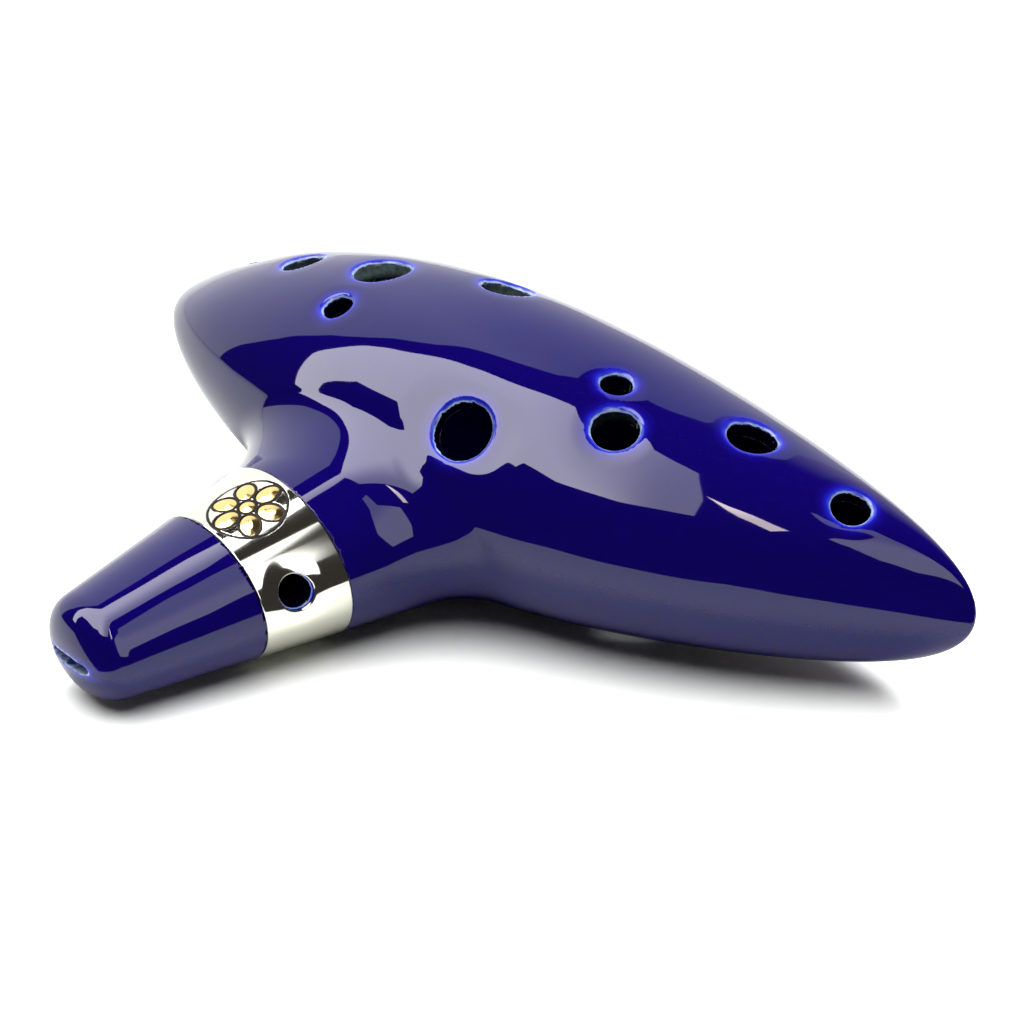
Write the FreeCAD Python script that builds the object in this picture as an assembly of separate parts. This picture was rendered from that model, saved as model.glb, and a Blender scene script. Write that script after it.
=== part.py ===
import FreeCAD, Part
import math
import os
from FreeCAD import Rotation, Vector

# A twelve-hole transverse ocarina (vessel flute) in glazed stoneware, in millimetres.
# +Z is up, +X runs towards the tail, -Y towards the player. It lies at rest on its belly
# and on the mouthpiece. The origin is the bottom centre of the whole instrument.

# Vessel: a long egg with elliptical sections, given at four shares of its length
LENGTH = 180.0
SHARES = (0.12, 0.38, 0.64, 0.88)
HALF_WIDTHS = (20.2, 30.9, 28.6, 13.3)
HALF_HEIGHTS = (14.4, 26.0, 23.0, 15.4)
BOW = 6.0              # how far the middle of the vessel bends towards the player
TAIL_DROP = 4.3        # degrees, about Y
ROLL = 1.7             # degrees, about X
WALL = 4.5
SHELL_SEAM = -0.8      # height of the seam between the two shells
VESSEL_CENTRE = Vector(90, 0, 0)

# Neck and mouthpiece: a tapered oval stem that leaves the vessel towards the player
NECK_ROOT = Vector(78.8, -2.7, -3.6)
NECK_TURN = 13.5       # degrees towards the wide end
NECK_DROOP = 7.75      # degrees below level
NECK_END = 90.4        # distance of the lips end from the root
NECK_WIDTH = (28.1, 0.1915)     # half-width at the root, and its taper per mm
NECK_HEIGHT = (21.9, 0.1458)    # half-height at the root, and its taper per mm
NOSE_LENGTH = 6.5      # rounding of the lips end
NOSE_BLUNTNESS = 0.8   # 1 is an ellipse, less is squarer
ROOT_FILLET = 16.0     # where the stem grows out of the vessel
STEM_JOINT = 47.5      # where the mouthpiece is luted to the stem, hidden by the collar

# Collar: a thin metal sleeve in a shallow groove
COLLAR_FROM, COLLAR_TO = 44.5, 60.45
COLLAR_SKIN = 0.6
COLLAR_PROUD = 0.15

# Airway, window and voicing edge
SLIT = (10.0, 1.6)     # width and height behind the lips
LIPS_OVAL = (11.6, 2.4)         # the airway's mouth in the lips end
LIPS_DEPTH = 4.0
EXIT = (9.5, 1.2)      # width and height at the window
EXIT_AT = 16.0         # distance from the root at which the airway meets the window
EXIT_Z = -22.6
WINDOW_LENGTH = 6.0
EDGE_Z = -22.4         # voicing edge
EDGE_THICK = 0.4
RAMP_FOOT = (-2.5, -26.6)       # where the ramp leaves the underside

# Finger holes: share of the length, degrees from the top towards the player, diameter
FINGER_HOLES = {
    "left_little": (0.094, -16.6, 6.5),
    "left_ring": (0.180, 0.6, 7.7),
    "left_middle": (0.292, -1.2, 10.4),
    "left_sub": (0.295, 26.0, 5.5),
    "left_index": (0.416, -19.7, 9.1),
    "right_index": (0.514, 50.8, 10.6),
    "right_sub": (0.613, 7.1, 5.6),
    "right_middle": (0.648, 26.5, 8.3),
    "right_ring": (0.751, -3.0, 8.8),
    "right_little": (0.872, 10.9, 6.8),
}
THUMB_HOLES = {
    "left_thumb": (0.215, 172.0, 9.4),
    "right_thumb": (0.655, 166.0, 9.4),
}
HOLE_ROUNDING = 0.9
DISH = (16.4, 1.1)     # diameter and depth of the finger seat around the right index hole

STRAP_HOLE = (53.8, 3.3, 5.6)   # distance along the stem, height over its axis, diameter

# Emblem: a round flower let into the collar
EMBLEM_AT = (52.5, 81.0)        # distance along the stem, degrees round from its tail side
RING_RADIUS = 7.3
PETALS = 6
PETAL_AT = 4.4
PETAL = (2.3, 1.75)             # half-length and half-width
BOSS_RADIUS = 1.45
LINE = 0.42                     # width of the dark outlines
INLAY_DEPTH = 0.3

REACH = 300.0          # larger than the instrument, for cutting blocks
VESSEL_SEAM = 220.0    # where the vessel's surface closes: low on the far side
STEM_SEAM = -70.0      # and the stem's: underneath, beside the window
CORNER = math.sqrt(2.0)
CIRCLE = [(1, 0), (1, 1), (0, 1), (-1, 1), (-1, 0), (-1, -1), (0, -1), (1, -1), (1, 0)]
TURN = Rotation(Vector(0, 1, 0), TAIL_DROP) * Rotation(Vector(1, 0, 0), ROLL)


def neck_axes():
    turn = math.radians(NECK_TURN)
    droop = math.radians(NECK_DROOP)
    out = Vector(-math.sin(turn) * math.cos(droop), -math.cos(turn) * math.cos(droop), -math.sin(droop))
    side = Vector(math.cos(turn), -math.sin(turn), 0)
    return out, side, out.cross(side)


OUT, SIDE, UP = neck_axes()
LIPS_Z = (NECK_ROOT + OUT * NECK_END).z


def half_size(values, t):
    """Half-width or half-height of the vessel at a share t of its length."""
    total = 0.0
    for i, value in enumerate(values):
        term = value**2 / (4 * SHARES[i] * (1 - SHARES[i]))
        for j, share in enumerate(SHARES):
            if j != i:
                term *= (t - share) / (SHARES[i] - share)
        total += term
    return math.sqrt(max(4 * t * (1 - t) * total, 0.0))


def vessel_section(t, wall=0.0):
    """Centre, half-width vector and half-height vector of the section at t, shrunk by the wall."""
    shrink_x = 1 - 2 * wall / LENGTH
    shrink_y = 1 - wall / max(HALF_WIDTHS)
    shrink_z = 1 - wall / max(HALF_HEIGHTS)
    bend = 4 * t * (1 - t) - 0.5
    centre = Vector(LENGTH * (t - 0.5) * shrink_x, -BOW * bend, 0)
    width = Vector(0, -half_size(HALF_WIDTHS, t) * shrink_y, 0)
    height = Vector(0, 0, half_size(HALF_HEIGHTS, t) * shrink_z)
    return VESSEL_CENTRE + TURN.multVec(centre), TURN.multVec(width), TURN.multVec(height)


def vessel_point(t, degrees):
    centre, width, height = vessel_section(t)
    angle = math.radians(degrees)
    return centre + width * math.sin(angle) + height * math.cos(angle)


def vessel_normal(t, degrees):
    along = vessel_point(t + 1e-4, degrees) - vessel_point(t - 1e-4, degrees)
    around = vessel_point(t, degrees + 0.01) - vessel_point(t, degrees - 0.01)
    return around.cross(along).normalize()


def spline(points, parameters):
    curve = Part.BSplineCurve()
    curve.interpolate(Points=points, Parameters=parameters)
    return curve


def closed_body(sections, parameters, seam):
    """A solid through elliptical sections whose first and last shrink to a point.

    The surface closes on itself along a seam, at an angle from the half-width towards the half-height.
    """
    tracks = [spline(list(track), parameters) for track in zip(*sections)]
    centres, widths, heights = [track.getPoles() for track in tracks]
    cos, sin = math.cos(math.radians(seam)), math.sin(math.radians(seam))
    rows = []
    for centre, width, height in zip(centres, widths, heights):
        first = width * cos + height * sin
        second = height * cos - width * sin
        rows.append([centre + first * c + second * s for c, s in CIRCLE])
    weights = [[1 / CORNER if c * s else 1.0 for c, s in CIRCLE] for _ in rows]
    knots = tracks[0].getKnots()
    mults = tracks[0].getMultiplicities()
    surface = Part.BSplineSurface()
    surface.buildFromPolesMultsKnots(
        rows, mults, [3, 2, 2, 2, 3], knots, [0, 1, 2, 3, 4], False, False, tracks[0].Degree, 2, weights
    )
    solid = Part.Solid(Part.Shell([surface.toShape()]))
    if solid.Volume < 0:
        solid.reverse()
    return solid


def vessel(wall=0.0):
    steps = 28
    angles = [math.pi * k / steps for k in range(steps + 1)]
    sections = [vessel_section((1 - math.cos(a)) / 2, wall) for a in angles]
    return closed_body(sections, angles, VESSEL_SEAM)


def neck_half_sizes(s):
    return NECK_WIDTH[0] - NECK_WIDTH[1] * s, NECK_HEIGHT[0] - NECK_HEIGHT[1] * s


def neck_point(s, degrees, grow=0.0):
    wide, high = neck_half_sizes(s)
    angle = math.radians(degrees)
    across = SIDE * ((wide + grow) * math.cos(angle)) + UP * ((high + grow) * math.sin(angle))
    return NECK_ROOT + OUT * s + across


def neck_section(s, share, grow=0.0):
    wide, high = neck_half_sizes(s)
    return NECK_ROOT + OUT * s, SIDE * ((wide + grow) * share), UP * ((high + grow) * share)


def stem(grow=0.0):
    """The whole stem, from inside the vessel to the lips, with both ends rounded."""
    stations = []
    for k in range(9):
        a = math.pi / 2 * k / 8
        stations.append((4 - 16 * math.cos(a), math.sin(a)))
    for k in range(1, 12):
        stations.append((4 + (NECK_END - NOSE_LENGTH - 4) * k / 12, 1.0))
    for k in range(13):
        a = math.pi / 2 * k / 12
        across = math.cos(a) ** NOSE_BLUNTNESS if k < 12 else 0.0
        stations.append((NECK_END - NOSE_LENGTH * (1 - math.sin(a) ** NOSE_BLUNTNESS), across))
    parameters = [0.0]
    for (s0, r0), (s1, r1) in zip(stations, stations[1:]):
        parameters.append(parameters[-1] + math.hypot(s1 - s0, 15 * (r1 - r0)))
    return closed_body([neck_section(s, r, grow) for s, r in stations], parameters, STEM_SEAM)


def block_beyond(s):
    """Everything on the lips side of a plane square to the stem at s."""
    box = Part.makeBox(REACH, REACH, REACH, Vector(-REACH / 2, -REACH / 2, 0))
    box.Placement = FreeCAD.Placement(NECK_ROOT + OUT * s, Rotation(Vector(0, 0, 1), OUT)) * box.Placement
    return box


def prism(corners, direction):
    """A straight prism on a flat outline."""
    return Part.Face(Part.makePolygon(corners + corners[:1])).extrude(direction)


def stem_prism(corners, width):
    """A prism across the stem, centred on its axis, from (distance, height) corners.

    The corners run anticlockwise with distance to the right.
    """
    points = [stem_place(s, z) - SIDE * (width / 2) for s, z in corners]
    return prism(points, SIDE * width)


def level_out():
    """Horizontal travel towards the lips for one millimetre along the stem."""
    return Vector(OUT.x, OUT.y, 0)


def instrument_skin():
    """The glazed outer form: vessel and stem with a generous root fillet."""
    whole = vessel().fuse(stem())
    root = [e for e in whole.Edges if e.Length > 5 and len(whole.ancestorsOfType(e, Part.Face)) == 2]
    return whole.makeFillet(ROOT_FILLET, root)


def stem_cone(start, end, grow):
    """The straight tapered part of the stem between two distances from its root."""
    ovals = []
    for s in (start, end):
        wide, high = neck_half_sizes(s)
        centre = NECK_ROOT + OUT * s
        oval = Part.Ellipse(centre + SIDE * (wide + grow), centre + UP * (high + grow), centre)
        ovals.append(Part.Wire(oval.toShape()))
    return Part.makeLoft(ovals, True, True)


def sleeve(inside, outside):
    """A ring of the stem under the collar, between two offsets from the stem's surface."""
    core = stem_cone(COLLAR_FROM - 2, COLLAR_TO + 2, inside)
    return stem_cone(COLLAR_FROM, COLLAR_TO, outside).cut(core)


def stem_place(s, z):
    """The point of the stem's middle plane at a distance along the stem and a height."""
    return NECK_ROOT + level_out() * s + Vector(0, 0, z - NECK_ROOT.z)


def airway():
    """The tapering slot from the lips to the window, with its oval mouth."""
    slot_outlines = []
    for s, z, (wide, high) in ((EXIT_AT, EXIT_Z, EXIT), (NECK_END, LIPS_Z, SLIT)):
        centre = stem_place(s, z)
        across, rise = SIDE * (wide / 2), Vector(0, 0, high / 2)
        corners = [centre - across - rise, centre + across - rise, centre + across + rise, centre - across + rise]
        slot_outlines.append(Part.makePolygon(corners + corners[:1]))
    ovals = []
    for s, (wide, high) in ((NECK_END - LIPS_DEPTH, SLIT), (NECK_END + LIPS_DEPTH / 4, LIPS_OVAL)):
        centre = stem_place(s, LIPS_Z)
        oval = Part.Ellipse(centre + SIDE * (wide / 2), centre + Vector(0, 0, high / 2), centre)
        ovals.append(Part.Wire(oval.toShape()))
    return Part.makeLoft(slot_outlines, True, True).fuse(Part.makeLoft(ovals, True, True))


def airway_floor_z(s):
    lips_z = LIPS_Z - SLIT[1] / 2
    exit_z = EXIT_Z - EXIT[1] / 2
    return exit_z + (lips_z - exit_z) * (s - EXIT_AT) / (NECK_END - EXIT_AT)


def under_floor():
    """Everything below the plane of the airway's floor."""
    near, far = STEM_JOINT - 20, NECK_END + 20
    corners = [(near, airway_floor_z(near)), (far, airway_floor_z(far)), (far, -REACH), (near, -REACH)]
    return stem_prism(corners, 80)


def voiced(shell):
    """The lower shell with its window, the ramp outside the voicing edge and the slope inside it."""
    edge = EXIT_AT - WINDOW_LENGTH
    around = stem_prism([(-4, -45), (EXIT_AT, -45), (EXIT_AT, -12), (-4, -12)], EXIT[0])
    kept_outline = [
        (edge, EDGE_Z),
        (edge, EDGE_Z + EDGE_THICK),
        (edge - 8, -15),
        (-10, -15),
        (-10, RAMP_FOOT[1] - 2.4),
        RAMP_FOOT,
    ]
    kept = shell.common(around).common(stem_prism(kept_outline, EXIT[0] + 4))
    return shell.cut(around).fuse(kept)


def parting():
    """Everything below the seam between the upper and the lower shell."""
    outline = [(70, SHELL_SEAM), (-15, SHELL_SEAM), (-75, SHELL_SEAM - 12.6), (-75, -80), (70, -80)]
    start = -LENGTH
    corners = [VESSEL_CENTRE + TURN.multVec(Vector(start, y, z)) for y, z in outline]
    return prism(corners, TURN.multVec(Vector(2 * LENGTH, 0, 0)))


def bored(shell, holes):
    """The shell with each hole bored square to its surface and its rim rounded."""
    for share, degrees, diameter in holes.values():
        point = vessel_point(share, degrees)
        normal = vessel_normal(share, degrees)
        shell = shell.cut(Part.makeCylinder(diameter / 2, 2.6 * WALL, point - normal * 1.9 * WALL, normal))
    return shell


def rounded_rims(shell, holes):
    rims = []
    for share, degrees, diameter in holes.values():
        point = vessel_point(share, degrees)
        for edge in shell.Edges:
            round_hole = diameter < edge.Length < 4 * diameter
            if round_hole and (edge.CenterOfMass - point).Length < 0.25 * diameter:
                rims.append(edge)
    return shell.makeFillet(HOLE_ROUNDING, rims)


def finger_seat():
    """The shallow flat seat around the right index hole."""
    share, degrees, _ = FINGER_HOLES["right_index"]
    diameter, depth = DISH
    normal = vessel_normal(share, degrees)
    return Part.makeCylinder(diameter / 2, WALL, vessel_point(share, degrees) - normal * depth, normal)


def strap_bore(diameter):
    distance, height, _ = STRAP_HOLE
    start = NECK_ROOT + OUT * distance + UP * height - SIDE * 40
    return Part.makeCylinder(diameter / 2, 80, start, SIDE)


def emblem_frame():
    s, degrees = EMBLEM_AT
    point = neck_point(s, degrees, COLLAR_PROUD)
    along = (neck_point(s + 0.1, degrees, COLLAR_PROUD) - point).normalize()
    around = neck_point(s, degrees + 0.1, COLLAR_PROUD) - neck_point(s, degrees - 0.1, COLLAR_PROUD)
    normal = around.cross(along).normalize()
    if normal.z < 0:
        normal = normal * -1
    return point, along, normal.cross(along).normalize(), normal


def oval_prism(centre, half_long, half_wide, long_axis, normal):
    start = centre - normal * 4
    cross = normal.cross(long_axis)
    if half_long - half_wide < 1e-6:
        outline = Part.Circle(start, normal, half_long)
    else:
        outline = Part.Ellipse(start + long_axis * half_long, start + cross * half_wide, start)
    return Part.Face(Part.Wire(outline.toShape())).extrude(normal * 8)


def emblem_prisms():
    """Prisms for the gold pieces, and for the dark outline that holds them."""
    point, along, across, normal = emblem_frame()
    gold = {"emblem_boss": oval_prism(point, BOSS_RADIUS, BOSS_RADIUS, along, normal)}
    fields = [oval_prism(point, BOSS_RADIUS + LINE, BOSS_RADIUS + LINE, along, normal)]
    for k in range(PETALS):
        angle = 2 * math.pi * k / PETALS
        ray = along * math.cos(angle) + across * math.sin(angle)
        centre = point + ray * PETAL_AT
        gold["emblem_petal_%d" % (k + 1)] = oval_prism(centre, *PETAL, ray, normal)
        fields.append(oval_prism(centre, PETAL[0] + LINE, PETAL[1] + LINE, ray, normal))
    outer = oval_prism(point, RING_RADIUS, RING_RADIUS, along, normal)
    inner = oval_prism(point, RING_RADIUS - LINE, RING_RADIUS - LINE, along, normal)
    outline = outer.cut(inner).fuse(fields)
    for piece in gold.values():
        outline = outline.cut(piece)
    return gold, outline


def collar_nodes():
    collar = sleeve(-COLLAR_SKIN, COLLAR_PROUD).cut(strap_bore(STRAP_HOLE[2] + 0.6))
    inlay = sleeve(COLLAR_PROUD - INLAY_DEPTH, COLLAR_PROUD + 0.05)
    gold, outline = emblem_prisms()
    nodes = {name: inlay.common(piece) for name, piece in gold.items()}
    nodes["emblem_outline"] = inlay.common(outline)
    for piece in list(nodes.values()):
        collar = collar.cut(piece)
    nodes["collar"] = collar
    return nodes


def clay_nodes():
    skin = instrument_skin().cut(sleeve(-COLLAR_SKIN, 5))
    front = block_beyond(STEM_JOINT)
    slot = airway()
    body = skin.cut(front).cut(vessel(WALL)).cut(slot)
    mouthpiece = skin.common(front).cut(slot)
    split = parting()
    upper = bored(body.cut(split).cut(finger_seat()), FINGER_HOLES)
    lower = bored(voiced(body.common(split)), THUMB_HOLES)
    floor = under_floor()
    return {
        "upper_shell": rounded_rims(upper, FINGER_HOLES),
        "lower_shell": rounded_rims(lower, THUMB_HOLES),
        "mouthpiece_roof": mouthpiece.cut(floor).cut(strap_bore(STRAP_HOLE[2])),
        "mouthpiece_floor": mouthpiece.common(floor),
    }


def main():
    nodes = clay_nodes()
    nodes.update(collar_nodes())
    whole = Part.makeCompound(list(nodes.values())).optimalBoundingBox()
    down = Vector(-(whole.XMin + whole.XMax) / 2, -(whole.YMin + whole.YMax) / 2, -whole.ZMin)
    os.makedirs("parts", exist_ok=True)
    for name, shape in nodes.items():
        placed = shape.copy()
        placed.translate(down)
        placed.exportStep("parts/%s.step" % name)


main()
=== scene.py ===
import math

import bpy
import numpy as np
import openvdb
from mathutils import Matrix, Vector


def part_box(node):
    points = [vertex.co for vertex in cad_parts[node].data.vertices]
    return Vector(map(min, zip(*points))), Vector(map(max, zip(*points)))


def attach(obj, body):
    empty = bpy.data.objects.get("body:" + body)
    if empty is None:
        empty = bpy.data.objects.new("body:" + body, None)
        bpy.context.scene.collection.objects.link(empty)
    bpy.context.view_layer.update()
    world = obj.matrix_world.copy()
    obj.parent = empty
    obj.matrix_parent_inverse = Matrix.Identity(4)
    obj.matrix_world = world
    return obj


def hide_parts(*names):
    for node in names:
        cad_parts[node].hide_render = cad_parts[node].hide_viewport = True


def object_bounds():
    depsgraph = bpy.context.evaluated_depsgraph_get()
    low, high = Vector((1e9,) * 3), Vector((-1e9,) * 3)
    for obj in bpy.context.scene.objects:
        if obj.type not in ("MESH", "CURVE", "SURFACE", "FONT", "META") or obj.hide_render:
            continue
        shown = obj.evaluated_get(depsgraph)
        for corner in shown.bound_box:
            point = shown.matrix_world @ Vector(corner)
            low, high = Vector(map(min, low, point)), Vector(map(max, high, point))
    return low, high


# The looks of a glazed twelve-hole ocarina. The clay is one fired and glazed body, so one
# smooth mesh stands for its four pieces. The shapes are distance fields in millimetres, in the
# design frame.

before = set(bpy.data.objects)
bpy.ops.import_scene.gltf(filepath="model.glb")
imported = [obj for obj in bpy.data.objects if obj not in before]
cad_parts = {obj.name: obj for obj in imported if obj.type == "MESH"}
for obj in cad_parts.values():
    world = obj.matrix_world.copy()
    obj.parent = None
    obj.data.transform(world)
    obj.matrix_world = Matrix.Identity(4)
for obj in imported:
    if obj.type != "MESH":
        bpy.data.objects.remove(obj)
CAD_LOW, CAD_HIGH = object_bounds()

# Design frame: x from the wide end, y = 0 near the vessel's axis, z = 0 at its middle height
DESIGN_LOW = np.array([0.256, -90.733, -25.833])
SHIFT = np.array(CAD_LOW) * 1000 - DESIGN_LOW

# Vessel: a long egg with elliptical sections, given at four shares of its length
LENGTH = 180.0
SHARES = np.array([0.12, 0.38, 0.64, 0.88])
HALF_WIDTHS = np.array([20.2, 30.9, 28.6, 13.3])
HALF_HEIGHTS = np.array([14.4, 26.0, 23.0, 15.4])
BOW = 6.0  # how far its middle bends towards the player
TAIL_DROP = math.radians(4.3)
ROLL = math.radians(1.7)
WALL = 4.5
VESSEL_CENTRE = np.array([90.0, 0.0, 0.0])

# Stem and mouthpiece: a tapered oval, with half-sizes at the root and their tapers per millimetre
NECK_ROOT = np.array([78.8, -2.7, -3.6])
NECK_TURN = math.radians(13.5)
NECK_DROOP = math.radians(7.75)
NECK_END = 90.4
NECK_WIDTH = (28.1, 0.1915)
NECK_HEIGHT = (21.9, 0.1458)
NOSE_LENGTH = 6.5
NOSE_POWER = 2.5
NECK_START = 4.0  # distance from the root at which the stem begins to show
ROOT_FILLET = 16.0
FILLET_EASE = 12.0  # the fillet grows to its full radius over this distance along the stem

# Collar: a thin sleeve in a shallow groove, between two distances along the stem
COLLAR_FROM, COLLAR_TO = 44.5, 60.45
COLLAR_SKIN = 0.6
COLLAR_PROUD = 0.15
COLLAR_GAP = 0.04
COLLAR_ROUNDING = 0.22

# Airway, window and voicing edge: widths with heights, and distances along the stem
SLIT = (10.0, 1.6)
LIPS_OVAL = (11.6, 2.4)
LIPS_DEPTH = 4.0
EXIT = (9.5, 1.2)
EXIT_AT = 16.0
EXIT_Z = -22.6
WINDOW_EDGE = 10.0
WINDOW_TOP = -12.0
EDGE_Z = -22.4
EDGE_THICK = 0.4
RAMP_FOOT = (-2.5, -26.6)
INNER_SLOPE = (8.0, 7.0)  # run and rise of the slope inside the voicing edge

# Share of the length, degrees from the top towards the player, diameter
HOLES = {
    "left_little": (0.094, -16.6, 6.5),
    "left_ring": (0.180, 0.6, 7.7),
    "left_middle": (0.292, -1.2, 10.4),
    "left_sub": (0.295, 26.0, 5.5),
    "left_index": (0.416, -19.7, 9.1),
    "right_index": (0.514, 50.8, 10.6),
    "right_sub": (0.613, 7.1, 5.6),
    "right_middle": (0.648, 26.5, 8.3),
    "right_ring": (0.751, -3.0, 8.8),
    "right_little": (0.872, 10.9, 6.8),
    "left_thumb": (0.215, 172.0, 9.4),
    "right_thumb": (0.655, 166.0, 9.4),
}
HOLE_ROUNDING = 1.1
HOLE_SPAN = (-9.0, 6.0)  # a hole's cutter, down into the wall and up above the surface
WORN = (4.0, 0.3)  # how far round a hole the surface sinks, and how deep
WORN_SPAN = 7.0
SEAT_DEPTH = 1.1  # the flat finger seat round the right index hole
SEAT_EASE = (7.5, 14.0)  # its flat radius, and the radius at which it has run out
SEAT_SPAN = 6.0
SOFT_EDGE = 0.35

STRAP_HOLE = (53.8, 3.3, 5.6)  # distance along the stem, height over its axis, diameter
STRAP_SINK = (6.2, 0.55)  # radius and depth of the hollow that the collar's strap hole sits in
STRAP_ROUNDING = 0.5

# Emblem: a round flower let into the collar
EMBLEM_AT = (52.5, math.radians(81.0))
RING_RADIUS = 7.3
PETALS = 6
PETAL_AT = 4.4
PETAL = (2.3, 1.75)
BOSS_RADIUS = 1.45
LINE = 0.42
INLAY_DEPTH = 0.3
INLAY_PROUD = 0.05

# The camera's side of the object: level directions towards the camera and to its right
VIEW_AZIMUTH, VIEW_ELEVATION = math.radians(38.04), math.radians(26.95)
TOWARD = np.array([math.sin(VIEW_AZIMUTH), -math.cos(VIEW_AZIMUTH), 0.0])
ACROSS = np.array([math.cos(VIEW_AZIMUTH), math.sin(VIEW_AZIMUTH), 0.0])
VIEW_TARGET = np.array([75.0, 0.0, 0.0])
VIEW_RIGHT, VIEW_DOWN, VIEW_DISTANCE = 6.61, 16.12, 543.4


def unit(v):
    v = np.asarray(v, float)
    return v / np.linalg.norm(v)


OUT = np.array(
    [
        -math.sin(NECK_TURN) * math.cos(NECK_DROOP),
        -math.cos(NECK_TURN) * math.cos(NECK_DROOP),
        -math.sin(NECK_DROOP),
    ]
)
SIDE = np.array([math.cos(NECK_TURN), -math.sin(NECK_TURN), 0.0])
UP = np.cross(OUT, SIDE)
ROLLED = np.array(
    [
        [1, 0, 0],
        [0, math.cos(ROLL), -math.sin(ROLL)],
        [0, math.sin(ROLL), math.cos(ROLL)],
    ]
)
DROPPED = np.array(
    [
        [math.cos(TAIL_DROP), 0, math.sin(TAIL_DROP)],
        [0, 1, 0],
        [-math.sin(TAIL_DROP), 0, math.cos(TAIL_DROP)],
    ]
)
TURN = DROPPED @ ROLLED


def share_polynomial(values):
    """Coefficients, highest power first, of the squared half-size over 4t(1-t)."""
    return np.polyfit(SHARES, values**2 / (4 * SHARES * (1 - SHARES)), 3)


WIDTH_POLY = share_polynomial(HALF_WIDTHS)
HEIGHT_POLY = share_polynomial(HALF_HEIGHTS)
TAIL_ROUNDING = 60.0  # keeps the very tip of the tail from closing to a blade


def vessel_point(t, angle):
    swell = 4 * t * (1 - t)
    wide = math.sqrt(swell * np.polyval(WIDTH_POLY, t))
    high = math.sqrt(swell * np.polyval(HEIGHT_POLY, t))
    local = np.array(
        [LENGTH * (t - 0.5), -BOW * (swell - 0.5) - wide * math.sin(angle), high * math.cos(angle)]
    )
    return VESSEL_CENTRE + TURN @ local


def vessel_normal(t, angle):
    along = vessel_point(t + 1e-4, angle) - vessel_point(t - 1e-4, angle)
    around = vessel_point(t, angle + 1e-4) - vessel_point(t, angle - 1e-4)
    return unit(np.cross(around, along))


def vessel_field(p, wall=0.0, slope=False):
    """Distance to the vessel's surface, nearly, negative inside. slope also gives its direction."""
    sx = LENGTH * (1 - 2 * wall / LENGTH)
    sy = (1 - wall / HALF_WIDTHS.max()) ** 2
    sz = (1 - wall / HALF_HEIGHTS.max()) ** 2
    q = (p - VESSEL_CENTRE) @ TURN
    t = q[..., 0] / sx + 0.5
    inner = np.clip(t, -0.02, 1.02)
    wide = np.polyval(WIDTH_POLY, inner)
    wide = (wide + np.sqrt(wide * wide + TAIL_ROUNDING**2)) / 2 * sy
    high = np.polyval(HEIGHT_POLY, inner) * sz
    y = q[..., 1] + BOW * (4 * t * (1 - t) - 0.5)
    z = q[..., 2]
    along = 2 * t - 1
    norm = np.sqrt(y * y / wide + z * z / high + along * along) + 1e-6
    gx = (2 * along / sx + y / wide * BOW * (4 - 8 * t) / sx) / norm
    gy = y / wide / norm
    gz = z / high / norm
    steep = np.sqrt(gx * gx + gy * gy + gz * gz) + 1e-6
    value = (norm - 1) / steep
    if not slope:
        return value
    return value, np.stack([gx / steep, gy / steep, gz / steep], -1) @ TURN.T


def neck_field(p, slope=False):
    """Distance to the stem and mouthpiece, nearly, negative inside."""
    d = p - NECK_ROOT
    s, u, v = d @ OUT, d @ SIDE, d @ UP
    a = np.maximum(NECK_WIDTH[0] - NECK_WIDTH[1] * s, 4)
    b = np.maximum(NECK_HEIGHT[0] - NECK_HEIGHT[1] * s, 4)
    r = np.sqrt((u / a) ** 2 + (v / b) ** 2) + 1e-6
    k = np.maximum(s - (NECK_END - NOSE_LENGTH), 0) / NOSE_LENGTH
    norm = (r**NOSE_POWER + k**NOSE_POWER) ** (1 / NOSE_POWER)
    dr = (r / norm) ** (NOSE_POWER - 1)
    gs = (k / norm) ** (NOSE_POWER - 1) / NOSE_LENGTH
    gu = dr * u / (a * a * r)
    gv = dr * v / (b * b * r)
    gs = gs + dr * (u * u / a**3 * NECK_WIDTH[1] + v * v / b**3 * NECK_HEIGHT[1]) / r
    steep = np.sqrt(gu * gu + gv * gv + gs * gs) + 1e-6
    value = (norm - 1) / steep
    if not slope:
        return value
    direction = (gs[..., None] * OUT + gu[..., None] * SIDE + gv[..., None] * UP) / steep[..., None]
    return value, direction


def rounded_both(a, b, radius):
    """What is inside both a and b, with a rounded edge where they meet squarely."""
    u = np.maximum(radius + a, 0)
    v = np.maximum(radius + b, 0)
    return np.minimum(-radius, np.maximum(a, b)) + np.sqrt(u * u + v * v)


def outer_field(p):
    """The glazed outside: vessel and stem with a rolling-ball fillet between them."""
    a = vessel_field(p)
    b = neck_field(p)
    s = (p - NECK_ROOT) @ OUT
    value = np.where(s > NECK_START, np.minimum(a, b), a)
    near = (s > NECK_START) & (a < ROOT_FILLET) & (b < ROOT_FILLET) & (a > -8) & (b > -8)
    if near.any():
        av, ag = vessel_field(p[near], slope=True)
        bv, bg = neck_field(p[near], slope=True)
        radius = ROOT_FILLET * np.clip((s[near] - NECK_START) / FILLET_EASE, 0.02, 1)
        c = np.clip((ag * bg).sum(-1), -0.95, 0.995)
        da, db = radius - av, radius - bv
        ball = radius - np.sqrt(np.maximum(da * da + db * db - 2 * c * da * db, 0) / (1 - c * c))
        between = (da - c * db > 0) & (db - c * da > 0)
        value[near] = np.where(between, ball, value[near])
    return value


def stem_place(p):
    """Level distance along the stem, distance across it, and height."""
    d = p - NECK_ROOT
    level = OUT * np.array([1, 1, 0])
    return d @ level / (level @ level), d @ SIDE, p[..., 2]


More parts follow.
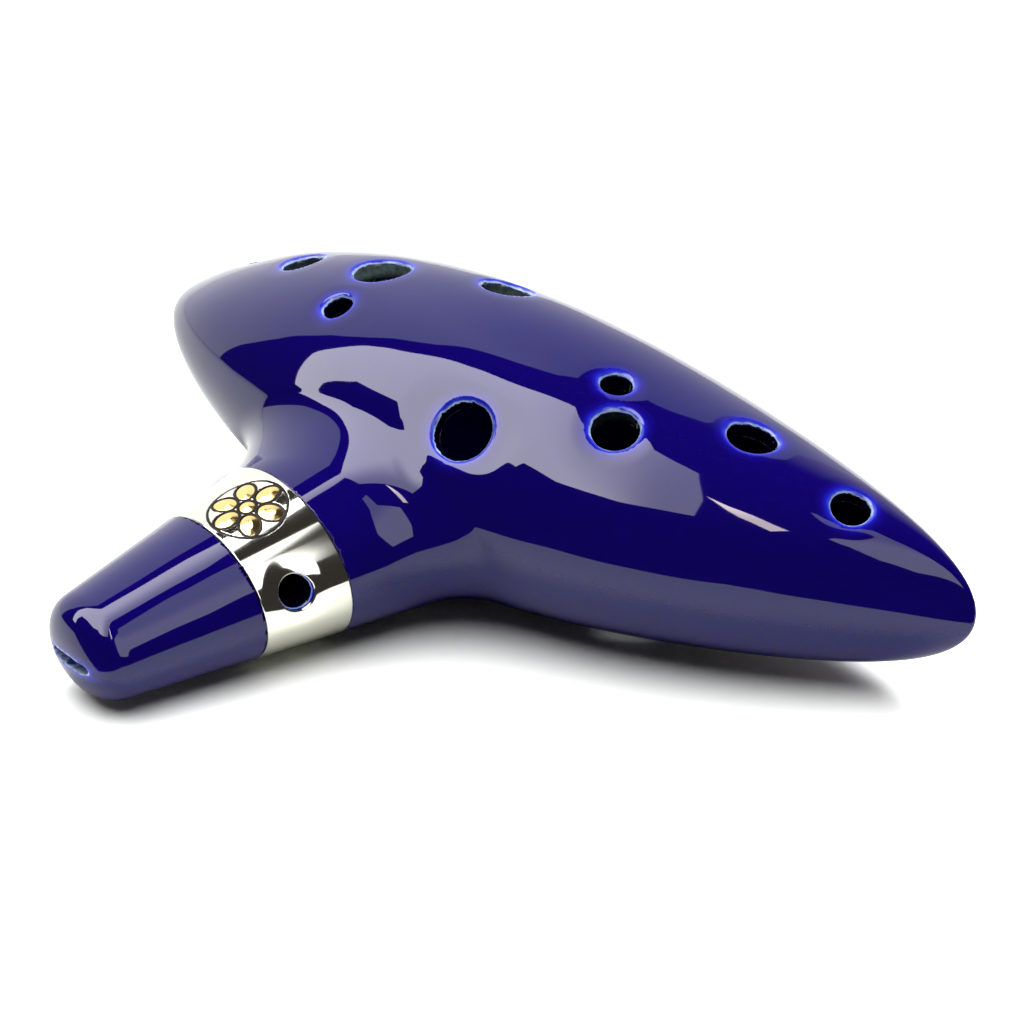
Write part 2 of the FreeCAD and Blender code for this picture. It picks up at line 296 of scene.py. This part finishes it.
def airway_field(p):
    s, u, z = stem_place(p)
    lips_z = (NECK_ROOT + OUT * NECK_END)[2]
    share = np.clip((s - EXIT_AT) / (NECK_END - EXIT_AT), 0, 1.1)
    middle = EXIT_Z + (lips_z - EXIT_Z) * share
    wide = EXIT[0] + (SLIT[0] - EXIT[0]) * share
    high = EXIT[1] + (SLIT[1] - EXIT[1]) * share
    return np.maximum(np.maximum(np.abs(u) - wide / 2, np.abs(z - middle) - high / 2), EXIT_AT - s)


def lips_field(p):
    """The oval mouth of the airway."""
    s, u, z = stem_place(p)
    share = np.clip((s - NECK_END + LIPS_DEPTH) / (1.25 * LIPS_DEPTH), 0, 1.2)
    wide = SLIT[0] + (LIPS_OVAL[0] - SLIT[0]) * share
    high = SLIT[1] + (LIPS_OVAL[1] - SLIT[1]) * share
    height = z - (NECK_ROOT + OUT * NECK_END)[2]
    return np.maximum(oval_distance(u, height, wide / 2, high / 2), NECK_END - LIPS_DEPTH - s)


def window_field(p):
    """The window in the underside, the ramp outside the voicing edge and the slope inside it."""
    s, u, z = stem_place(p)
    across = np.abs(u) - EXIT[0] / 2
    mouth = np.maximum(np.maximum(s - EXIT_AT, WINDOW_EDGE - s), z - WINDOW_TOP)
    run, rise = WINDOW_EDGE - RAMP_FOOT[0], EDGE_Z - RAMP_FOOT[1]
    ramp = ((z - EDGE_Z) * run - (s - WINDOW_EDGE) * rise) / math.hypot(run, rise)
    ramp = np.maximum(ramp, s - WINDOW_EDGE)
    over_run, over_rise = INNER_SLOPE
    slope = (z - EDGE_Z - EDGE_THICK) * over_run + (s - WINDOW_EDGE) * over_rise
    slope = -slope / math.hypot(over_run, over_rise)
    slope = np.maximum(np.maximum(slope, s - WINDOW_EDGE), z - WINDOW_TOP)
    return np.maximum(np.minimum(np.minimum(mouth, ramp), slope), across)


def hole_places():
    places = []
    for share, degrees, diameter in HOLES.values():
        angle = math.radians(degrees)
        places.append((vessel_point(share, angle), vessel_normal(share, angle), diameter / 2))
    return places


HOLE_PLACES = hole_places()
STRAP_CENTRE = NECK_ROOT + OUT * STRAP_HOLE[0] + UP * STRAP_HOLE[1]


def radial(p, centre, axis):
    """Distance from an axis, and height along it."""
    d = p - centre
    height = d @ axis
    return np.sqrt(np.maximum((d * d).sum(-1) - height * height, 0)), height


def strap_radius(p):
    return radial(p, STRAP_CENTRE, SIDE)[0]


def subtract(value, p, reach, field, rounding):
    """Takes a rounded bite out of value where reach holds."""
    if reach.any():
        value[reach] = rounded_both(value[reach], -field(p[reach]), rounding)


def worn_seats(p):
    """How far the surface sinks round each hole, where the maker's fingers pressed."""
    sink = np.zeros(len(p))
    for centre, normal, radius in HOLE_PLACES:
        away, height = radial(p, centre, normal)
        reach = radius + WORN[0]
        bowl = np.maximum(1 - (away / reach) ** 2, 0) ** 2
        sink = np.maximum(sink, np.where(np.abs(height) < WORN_SPAN, WORN[1] * bowl, 0))
    return sink


def finger_seat(p, value):
    """The flat seat round the right index hole, its ends eased into the vessel's surface."""
    centre, normal, _ = HOLE_PLACES[list(HOLES).index("right_index")]
    away, height = radial(p, centre, normal)
    flat_to, ends_at = SEAT_EASE
    reach = (away < ends_at) & (height > -SEAT_SPAN) & (height < SEAT_SPAN)
    share = np.clip((ends_at - away[reach]) / (ends_at - flat_to), 0, 1)
    flat = rounded_both(value[reach], height[reach] + SEAT_DEPTH, SOFT_EDGE)
    value[reach] += (flat - value[reach]) * share * share * (3 - 2 * share)


def clay_field(p):
    value = outer_field(p) + worn_seats(p)
    finger_seat(p, value)
    neck = neck_field(p)
    s = (p - NECK_ROOT) @ OUT
    groove = np.maximum(np.maximum(-(neck + COLLAR_SKIN), COLLAR_FROM - s), s - COLLAR_TO)
    value = np.maximum(value, -groove)
    value = np.maximum(value, -vessel_field(p, WALL))
    value = np.maximum(value, -airway_field(p))
    value = rounded_both(value, -lips_field(p), SOFT_EDGE)
    value = np.maximum(value, -window_field(p))
    for centre, normal, radius in HOLE_PLACES:
        away, height = radial(p, centre, normal)
        reach = (away < radius + 3) & (height > HOLE_SPAN[0]) & (height < HOLE_SPAN[1])
        subtract(value, p, reach, lambda q: radial(q, centre, normal)[0] - radius, HOLE_ROUNDING)
    away = strap_radius(p)
    subtract(value, p, away < 6, lambda q: strap_radius(q) - STRAP_HOLE[2] / 2, STRAP_ROUNDING)
    return value


def strap_sink(p):
    """The surface sinks towards the strap hole."""
    radius, depth = STRAP_SINK
    return depth * np.maximum(1 - (strap_radius(p) / radius) ** 2, 0) ** 2


def neck_point(s, angle, grow):
    wide = NECK_WIDTH[0] - NECK_WIDTH[1] * s + grow
    high = NECK_HEIGHT[0] - NECK_HEIGHT[1] * s + grow
    return NECK_ROOT + OUT * s + SIDE * (wide * math.cos(angle)) + UP * (high * math.sin(angle))


def emblem_frame():
    s, angle = EMBLEM_AT
    point = neck_point(s, angle, COLLAR_PROUD)
    along = unit(neck_point(s + 0.1, angle, COLLAR_PROUD) - point)
    around = neck_point(s, angle + 0.001, COLLAR_PROUD) - neck_point(s, angle - 0.001, COLLAR_PROUD)
    normal = unit(np.cross(around, along))
    if normal[2] < 0:
        normal = -normal
    return point, along, np.cross(normal, along), normal


EMBLEM = emblem_frame()


def oval_distance(x, y, half_long, half_wide):
    r = np.sqrt((x / half_long) ** 2 + (y / half_wide) ** 2) + 1e-9
    return (r - 1) * r / (np.sqrt((x / half_long**2) ** 2 + (y / half_wide**2) ** 2) + 1e-9)


def emblem_place(p):
    point, along, across, normal = EMBLEM
    d = p - point
    return d @ along, d @ across, d @ normal


def petal_distance(p, k):
    x, y, _ = emblem_place(p)
    angle = 2 * math.pi * k / PETALS
    x, y = x * math.cos(angle) + y * math.sin(angle), y * math.cos(angle) - x * math.sin(angle)
    return oval_distance(x - PETAL_AT, y, *PETAL)


def boss_distance(p):
    x, y, _ = emblem_place(p)
    return np.sqrt(x * x + y * y) - BOSS_RADIUS


def gold_distance(p):
    nearest = boss_distance(p)
    for k in range(PETALS):
        nearest = np.minimum(nearest, petal_distance(p, k))
    return nearest


def outline_distance(p):
    x, y, _ = emblem_place(p)
    ring = np.abs(np.sqrt(x * x + y * y) - (RING_RADIUS - LINE / 2)) - LINE / 2
    gold = gold_distance(p)
    return np.maximum(np.minimum(gold - LINE, ring), -gold)


def above_emblem(p):
    return -2 - emblem_place(p)[2]


def collar_field(p):
    neck = neck_field(p)
    s = (p - NECK_ROOT) @ OUT
    ends = np.maximum(COLLAR_FROM + COLLAR_GAP - s, s - COLLAR_TO + COLLAR_GAP)
    value = rounded_both(neck - COLLAR_PROUD + strap_sink(p), ends, COLLAR_ROUNDING)
    value = np.maximum(value, -(neck + COLLAR_SKIN - 0.02))
    value = rounded_both(value, STRAP_HOLE[2] / 2 + 0.3 - strap_radius(p), 0.3)
    inlaid = np.maximum(np.minimum(gold_distance(p), outline_distance(p)), above_emblem(p))
    return np.maximum(value, -np.maximum(inlaid, -(neck - COLLAR_PROUD + INLAY_DEPTH)))


def inlay_field(p, flat, dome, edge):
    """A piece let into the collar: its outline, how far it swells, and its edge's rounding."""
    neck = neck_field(p)
    top = neck - COLLAR_PROUD - INLAY_PROUD
    if dome:
        top = top + dome * (1 - np.clip(-flat / 1.2, 0, 1))
    value = rounded_both(top - dome * 0.5, flat, edge)
    return np.maximum(np.maximum(value, -(neck - COLLAR_PROUD + INLAY_DEPTH)), above_emblem(p))


SLAB_POINTS = 1.2e6
SETTLING_ROUNDS = 3


def gradient(field, p, step):
    g = np.empty_like(p)
    for axis in range(3):
        move = np.zeros(3)
        move[axis] = step
        g[:, axis] = field(p + move) - field(p - move)
    return g / (2 * step)


def field_values(field, axes):
    """The field at every crossing of three axes, worked out in slabs to save memory."""
    values = np.empty([len(axis) for axis in axes], np.float32)
    slab = max(1, int(SLAB_POINTS / (len(axes[1]) * len(axes[2]))))
    for start in range(0, len(axes[0]), slab):
        some = axes[0][start : start + slab]
        part = np.stack(np.meshgrid(some, axes[1], axes[2], indexing="ij"), -1)
        values[start : start + slab] = field(part.reshape(-1, 3)).reshape(part.shape[:3])
    return values


def settled(points, field, voxel):
    """The points moved onto the zero surface, by a few careful steps down the slope."""
    for _ in range(SETTLING_ROUNDS):
        g = gradient(field, points, 0.02)
        f = field(points)
        step = f[:, None] * g / np.maximum((g * g).sum(-1), 0.2)[:, None]
        size = np.linalg.norm(step, axis=1)
        step *= np.minimum(1, 0.4 * voxel / np.maximum(size, 1e-9))[:, None]
        points -= step
    return points


def surface_mesh(name, field, low, high, voxel):
    """A mesh on the zero surface of a distance field, and its points in the design frame."""
    low, high = np.asarray(low, float), np.asarray(high, float)
    counts = np.ceil((high - low) / voxel).astype(int) + 1
    values = field_values(field, [low[i] + voxel * np.arange(counts[i]) for i in range(3)])
    limit = 3 * voxel
    grid = openvdb.FloatGrid(limit)
    grid.copyFromArray(np.clip(values, -limit, limit))
    points, quads = grid.convertToQuads(isovalue=0.0)
    points = points.astype(float) * voxel + low
    points = settled(points, field, voxel)
    normals = gradient(field, points, 0.04)
    normals /= np.maximum(np.linalg.norm(normals, axis=1), 1e-9)[:, None]
    corners = points[quads[:, :4]]
    facing = np.cross(corners[:, 2] - corners[:, 0], corners[:, 3] - corners[:, 1])
    if (facing * normals[quads[:, 0]]).sum() < 0:
        quads = quads[:, ::-1]
    mesh = bpy.data.meshes.new(name)
    mesh.from_pydata(((points + SHIFT) / 1000).tolist(), [], quads.tolist())
    mesh.shade_smooth()
    mesh.normals_split_custom_set_from_vertices(normals.tolist())
    piece = bpy.data.objects.new(name, mesh)
    bpy.context.scene.collection.objects.link(piece)
    return piece, points


def node_material(name):
    material = bpy.data.materials.new(name)
    material.use_nodes = True
    tree = material.node_tree
    return material, tree, tree.nodes["Principled BSDF"]


def add_node(tree, kind, **inputs):
    node = tree.nodes.new(kind)
    for key, value in inputs.items():
        node.inputs[key].default_value = value
    return node


# Colours of the glaze by distance from an edge, in millimetres outwards from the mouth of a hole.
# Below the edge, down the wall of a hole or slit, the colours are painted shade that goes to near
# black.
RIM_SPAN = (-1.0, 3.0)
RIM_COLOURS_AND_HOLE_SHADE = [
    # The first two stops are painted shade down a hole's wall; the rest are the glaze's own colour.
    (-1.0, (0.0005, 0.0005, 0.004)),
    (-0.25, (0.001, 0.001, 0.02)),
    (-0.08, (0.03, 0.05, 0.22)),
    (0.08, (0.24, 0.28, 0.36)),
    (0.22, (0.16, 0.22, 0.36)),
    (0.45, (0.012, 0.02, 0.27)),
    (0.95, (0.004, 0.004, 0.18)),
    (1.7, (0.0025, 0.0006, 0.085)),
    (3.0, (0.0014, 0.0, 0.048)),
]
BARE_CLAY = (0.13, 0.19, 0.18, 1)


def map_range(tree, source, start, end, smooth=False):
    """A node that takes source from the first pair of values to the second."""
    node = tree.nodes.new("ShaderNodeMapRange")
    if smooth:
        node.interpolation_type = "SMOOTHSTEP"
    node.inputs["From Min"].default_value, node.inputs["From Max"].default_value = start
    node.inputs["To Min"].default_value, node.inputs["To Max"].default_value = end
    tree.links.new(source, node.inputs["Value"])
    return node.outputs["Result"]


def math_node(tree, operation, *sources):
    node = tree.nodes.new("ShaderNodeMath")
    node.operation = operation
    for source, socket in zip(sources, node.inputs):
        tree.links.new(source, socket)
    return node


def dot_product(tree, source, direction):
    node = tree.nodes.new("ShaderNodeVectorMath")
    node.operation = "DOT_PRODUCT"
    node.inputs[1].default_value = tuple(direction)
    tree.links.new(source, node.inputs[0])
    return node.outputs["Value"]


def attribute_value(tree, name):
    node = tree.nodes.new("ShaderNodeAttribute")
    node.attribute_name = name
    return node.outputs["Fac"]


def noise(tree, place, scale, detail, roughness):
    node = add_node(tree, "ShaderNodeTexNoise", Scale=scale, Detail=detail, Roughness=roughness)
    tree.links.new(place, node.inputs["Vector"])
    return node.outputs["Fac"]


def rim_colour_and_hole_shade(tree, distance):
    """The colour of the glaze at a distance from the nearest edge, with painted shade down the
    walls of the holes.
    """
    ramp = tree.nodes.new("ShaderNodeValToRGB")
    stops = ramp.color_ramp.elements
    while len(stops) < len(RIM_COLOURS_AND_HOLE_SHADE):
        stops.new(0.5)
    for stop, (away, colour) in zip(stops, RIM_COLOURS_AND_HOLE_SHADE):
        stop.position = (away - RIM_SPAN[0]) / (RIM_SPAN[1] - RIM_SPAN[0])
        stop.color = (*colour, 1)
    tree.links.new(map_range(tree, distance, RIM_SPAN, (0, 1)), ramp.inputs["Fac"])
    return ramp.outputs["Color"]


def glaze_material():
    """Cobalt glaze: pale and thin at the edges of the holes, dark where it lies thick, and painted
    shade, near black, down the walls of the holes, the airway slit and the strap hole.
    """
    material, tree, shader = node_material("cobalt_glaze")
    shader.inputs["Roughness"].default_value = 0.025
    shader.inputs["IOR"].default_value = 1.5
    place = tree.nodes.new("ShaderNodeTexCoord").outputs["Object"]
    wander = map_range(tree, noise(tree, place, 420.0, 2.0, 0.5), (0.3, 0.7), (-0.16, 0.16))
    distance = math_node(tree, "ADD", attribute_value(tree, "rim"), wander)
    mottle = noise(tree, place, 900.0, 3.0, 0.6)
    patchy = math_node(tree, "MULTIPLY", attribute_value(tree, "bare"), mottle)
    bare = tree.nodes.new("ShaderNodeMix")
    bare.data_type = "RGBA"
    bare.inputs[7].default_value = BARE_CLAY
    tree.links.new(patchy.outputs["Value"], bare.inputs[0])
    tree.links.new(rim_colour_and_hole_shade(tree, distance.outputs["Value"]), bare.inputs[6])
    tree.links.new(bare.outputs[2], shader.inputs["Base Color"])
    bump = add_node(tree, "ShaderNodeBump", Strength=0.4, Distance=0.0007)
    tree.links.new(noise(tree, place, 48.0, 1.0, 0.35), bump.inputs["Height"])
    tree.links.new(bump.outputs["Normal"], shader.inputs["Normal"])
    return material


def metal_material(name, colour, roughness):
    material, _, shader = node_material(name)
    shader.inputs["Base Color"].default_value = colour
    shader.inputs["Metallic"].default_value = 1.0
    shader.inputs["Roughness"].default_value = roughness
    return material


def finish_piece(piece, material, slot, *nodes):
    piece.data.materials.append(material)
    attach(piece, "root")
    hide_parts(*nodes)


# How bare the clay shows on the walls of these holes
BARE_WALLS = {"left_middle": 1.3, "left_index": 0.6, "left_ring": 0.3, "right_middle": 0.15}
EDGE_WIDTH = 0.1


def rim_distance(points):
    """Distance in millimetres from the nearest edge of a hole, negative down its wall, where the
    glaze is painted shade.
    """
    nearest = np.full(len(points), RIM_SPAN[1])
    for centre, normal, radius in HOLE_PLACES:
        away, height = radial(points, centre, normal)
        away = away - radius
        along = np.where(away > 0.08, away, height + 0.6 * HOLE_ROUNDING)
        near = (height > -6) & (height < 3)
        nearest = np.where(near, np.minimum(nearest, along), nearest)
    # Inside the airway slit and down the strap hole the distance also goes negative, so these get
    # painted shade too.
    slit = lips_field(points) - EDGE_WIDTH
    away = strap_radius(points) - STRAP_HOLE[2] / 2
    strap = np.where(away > EDGE_WIDTH, 2 * away, neck_field(points) + 0.4)
    return np.minimum(nearest, np.minimum(1.5 * np.maximum(slit, -2), strap))


def bare_walls(points):
    """Where the glaze has run off the wall of a finger hole, just under its edge."""
    bare = np.zeros(len(points))
    for name, (centre, normal, radius) in zip(HOLES, HOLE_PLACES):
        away, height = radial(points, centre, normal)
        wall = np.exp(-(((height + 2.2) / 1.2) ** 2)) * (away < radius + 0.2)
        bare = np.maximum(bare, BARE_WALLS.get(name, 0.0) * wall)
    return bare


def clay_body():
    low = DESIGN_LOW - 1.5
    high = np.array(CAD_HIGH) * 1000 - SHIFT + 1.5
    voxel = 0.5
    body, points = surface_mesh("glazed_body", clay_field, low, high, voxel)
    for name, values in (("rim", rim_distance(points)), ("bare", bare_walls(points))):
        layer = body.data.attributes.new(name, "FLOAT", "POINT")
        layer.data.foreach_set("value", values.astype(np.float32))
    nodes = ("upper_shell", "lower_shell", "mouthpiece_roof", "mouthpiece_floor")
    finish_piece(body, glaze_material(), "cobalt_glaze", *nodes)


def design_box(node, margin):
    low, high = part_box(node)
    return np.array(low) * 1000 - SHIFT - margin, np.array(high) * 1000 - SHIFT + margin


def inlay_piece(name, node, slot, material, margin, voxel, *shape):
    """One piece of the emblem: shape is its outline, how far it swells, and its edge's rounding."""
    outline, dome, edge = shape

    def field(p):
        return inlay_field(p, outline(p), dome, edge)

    piece, _ = surface_mesh(name, field, *design_box(node, margin), voxel)
    finish_piece(piece, material, slot, node)


def collar_and_emblem():
    voxel = 0.16
    silver = metal_material("mirror_silver", (0.84, 0.835, 0.75, 1), 0.06)
    gold = metal_material("gold_inlay", (0.95, 0.72, 0.3, 1), 0.16)
    dark = metal_material("dark_line", (0.03, 0.028, 0.025, 1), 0.3)
    collar, _ = surface_mesh("collar_band", collar_field, *design_box("collar", 0.6), voxel)
    finish_piece(collar, silver, "silver", "collar")
    outline = (outline_distance, 0.0, 0.08)
    inlay_piece("emblem_line", "emblem_outline", "dark_line", dark, 0.4, voxel / 2, *outline)
    inlay_piece("gold_boss", "emblem_boss", "gold", gold, 0.5, voxel / 2, boss_distance, 0.25, 0.15)
    for k in range(PETALS):
        names = "gold_petal_%d" % (k + 1), "emblem_petal_%d" % (k + 1)
        petal = (lambda p: petal_distance(p, k), 0.25, 0.15)
        inlay_piece(*names, "gold", gold, 0.5, voxel / 2, *petal)


# The studio: metres towards the camera, to its right and up
# How far the grey painted-shade sheet lies above the floor
SHADE_SHEET_LIFT = 0.00005
CEILING = 2.0
STRIP_DROP = 0.02
BACKDROP_AT = -1.6
ROOM_LIGHT = 0.035


def studio_point(toward, right, height):
    return TOWARD * toward + ACROSS * right + np.array([0, 0, height])


def stage_sheet(name, corners, material):
    mesh = bpy.data.meshes.new(name)
    mesh.from_pydata([tuple(c) for c in corners], [], [tuple(range(len(corners)))])
    mesh.materials.append(material)
    sheet = bpy.data.objects.new(name, mesh)
    bpy.context.scene.collection.objects.link(sheet)
    return sheet


def only_mirrored(sheet):
    sheet.visible_camera = False
    sheet.visible_diffuse = False
    sheet.visible_shadow = False


def matt_material(name, colour):
    material, _, shader = node_material(name)
    shader.inputs["Base Color"].default_value = (*colour, 1)
    shader.inputs["Roughness"].default_value = 0.6
    shader.inputs["Specular IOR Level"].default_value = 0.2
    return material


def floor_sheets():
    """A white floor, and on it a grey sheet seen only in the glaze's reflections: painted shade
    standing for the shaded floor near the object, whose front edge the glaze mirrors.
    """
    size, z = 6.0, CAD_LOW[2]
    corners = [(-size, -size, z), (size, -size, z), (size, size, z), (-size, size, z)]
    floor = stage_sheet("floor", corners, matt_material("floor_white", (0.92, 0.93, 0.92)))
    floor.visible_glossy = False
    edge = [
        (0.04, -3.0),
        (0.04, -0.07),
        (0.08, -0.045),
        (0.105, 0.025),
        (0.05, 0.095),
        (-0.1, 0.4),
        (-3.0, 1.5),
        (-3.0, -3.0),
    ]
    # The grey sheet is painted shade: the floor near the object as the glaze mirrors it.
    corners = [studio_point(t, r, z + SHADE_SHEET_LIFT) for t, r in edge]
    only_mirrored(stage_sheet("floor_shade_sheet", corners, matt_material("painted_floor_shade", (0.42, 0.43, 0.4))))


def glowing(name, colour, strengths, start, direction, reach):
    """A diffuser whose strength changes over reach metres along direction from start."""
    material = bpy.data.materials.new(name)
    material.use_nodes = True
    tree = material.node_tree
    tree.nodes.clear()
    place = tree.nodes.new("ShaderNodeTexCoord").outputs["Object"]
    along = dot_product(tree, place, direction)
    first = float(np.dot(start, direction))
    light = add_node(tree, "ShaderNodeEmission", Color=(*colour, 1))
    strength = map_range(tree, along, (first, first + reach), strengths, smooth=True)
    tree.links.new(strength, light.inputs["Strength"])
    output = tree.nodes.new("ShaderNodeOutputMaterial")
    tree.links.new(light.outputs["Emission"], output.inputs["Surface"])
    return material


def light_sheet(name, corners, *glow):
    """A diffuser that only shows in reflections. The area lights light the matt surfaces."""
    only_mirrored(stage_sheet(name, corners, glowing(name, *glow)))


def softboxes():
    """Diffusers overhead and behind, each an outline of places in the studio."""
    left = [
        (0.1, 0.0),
        (0.9, -0.3),
        (1.63, -0.62),
        (1.7, -1.16),
        (1.5, -1.5),
        (1.1, -1.48),
        (0.95, -1.95),
        (0.6, -2.05),
        (0.25, -2.15),
        (-0.3, -2.6),
        (-0.4, -4.0),
        (-0.3, -7.0),
        (-1.1, -7.0),
        (-1.05, -2.8),
        (-0.88, -1.5),
        (-0.66, -0.7),
        (-0.5, -0.15),
    ]
    corners = [studio_point(t, r, CEILING) for t, r in left]
    inwards = unit(studio_point(-0.44, -0.9, 0))
    light_sheet("softbox_left", corners, (1, 0.97, 1.03), (3.0, 7.5), corners[0], inwards, 0.6)

    right = [
        (0.45, 0.22),
        (0.98, 0.38),
        (1.8, 0.05),
        (4.1, 0.37),
        (9.0, 1.6),
        (9.0, 5.5),
        (2.33, 1.88),
        (0.99, 0.74),
        (0.88, 0.62),
        (0.42, 0.36),
    ]
    corners = [studio_point(t, r, CEILING) for t, r in right]
    light_sheet("softbox_right", corners, (1, 1, 1.02), (1.6, 2.4), corners[1], TOWARD, 0.8)

    streak = [(0.7, -0.21), (1.28, -0.27), (1.85, -0.27), (1.65, -0.15), (1.01, -0.18)]
    corners = [studio_point(t, r, CEILING - STRIP_DROP) for t, r in streak]
    light_sheet("warm_strip", corners, (1, 0.86, 0.8), (20.0, 12.0), corners[0], TOWARD, 0.7)

    arch = [
        (-3.1, 0.0),
        (-3.1, 1.8),
        (-2.1, 3.05),
        (-1.2, 3.35),
        (-0.4, 3.15),
        (0.0, 3.0),
        (0.5, 2.1),
        (0.7, 1.7),
        (0.7, 0.0),
    ]
    corners = [studio_point(BACKDROP_AT, r, z) for r, z in arch]
    start = studio_point(0, -0.5, 0)
    light_sheet("back_panel", corners, (1, 1, 0.98), (1.25, 0.7), start, ACROSS, 1.0)


def area_light(name, place, size, power):
    """A soft light on the object's middle that stays out of the reflections."""
    data = bpy.data.lights.new(name, "AREA")
    data.shape = "DISK"
    data.size = size
    data.energy = power
    light = bpy.data.objects.new(name, data)
    light.location = place
    light.rotation_euler = Vector(-place).to_track_quat("-Z", "Y").to_euler()
    light.visible_glossy = False
    bpy.context.scene.collection.objects.link(light)


def world_light():
    """A dim room, brighter low behind the object, and white where the camera looks past it."""
    world = bpy.data.worlds.new("studio")
    bpy.context.scene.world = world
    world.use_nodes = True
    tree = world.node_tree
    room = tree.nodes["Background"]
    room.inputs["Color"].default_value = (1.0, 0.9, 0.84, 1)
    place = tree.nodes.new("ShaderNodeTexCoord").outputs["Generated"]
    split = tree.nodes.new("ShaderNodeSeparateXYZ")
    tree.links.new(place, split.inputs["Vector"])
    low = map_range(tree, split.outputs["Z"], (0.85, 0.6), (0.0, 0.6), smooth=True)
    facing = dot_product(tree, place, -TOWARD)
    behind = map_range(tree, facing, (0.5, 0.95), (0.0, 1.0), smooth=True)
    both = math_node(tree, "MULTIPLY_ADD", low, behind)
    both.inputs[2].default_value = ROOM_LIGHT
    tree.links.new(both.outputs["Value"], room.inputs["Strength"])
    white = add_node(tree, "ShaderNodeBackground", Strength=1.2)
    seen = tree.nodes.new("ShaderNodeLightPath")
    mix = tree.nodes.new("ShaderNodeMixShader")
    tree.links.new(seen.outputs["Is Camera Ray"], mix.inputs["Fac"])
    tree.links.new(room.outputs["Background"], mix.inputs[1])
    tree.links.new(white.outputs["Background"], mix.inputs[2])
    tree.links.new(mix.outputs["Shader"], tree.nodes["World Output"].inputs["Surface"])


def camera():
    """The camera stands to the player's right and looks down at the mouthpiece side."""
    back = TOWARD * math.cos(VIEW_ELEVATION) + np.array([0, 0, math.sin(VIEW_ELEVATION)])
    above = np.cross(back, ACROSS)
    target = VIEW_TARGET + ACROSS * VIEW_RIGHT - above * VIEW_DOWN
    place = (target + back * VIEW_DISTANCE + SHIFT) / 1000
    data = bpy.data.cameras.new("camera")
    data.sensor_width = 36.0
    data.lens = 103.0
    view = bpy.data.objects.new("camera", data)
    view.location = place
    view.rotation_euler = Vector(-back).to_track_quat("-Z", "Y").to_euler()
    bpy.context.scene.collection.objects.link(view)
    bpy.context.scene.camera = view


clay_body()
collar_and_emblem()
floor_sheets()
softboxes()
area_light("key", studio_point(-1.0, 0.3, 2.0), 1.0, 75)
area_light("fill", studio_point(0, 0, 1.9), 3.6, 155)
world_light()
camera()
bpy.context.scene.view_settings.view_transform = "Standard"
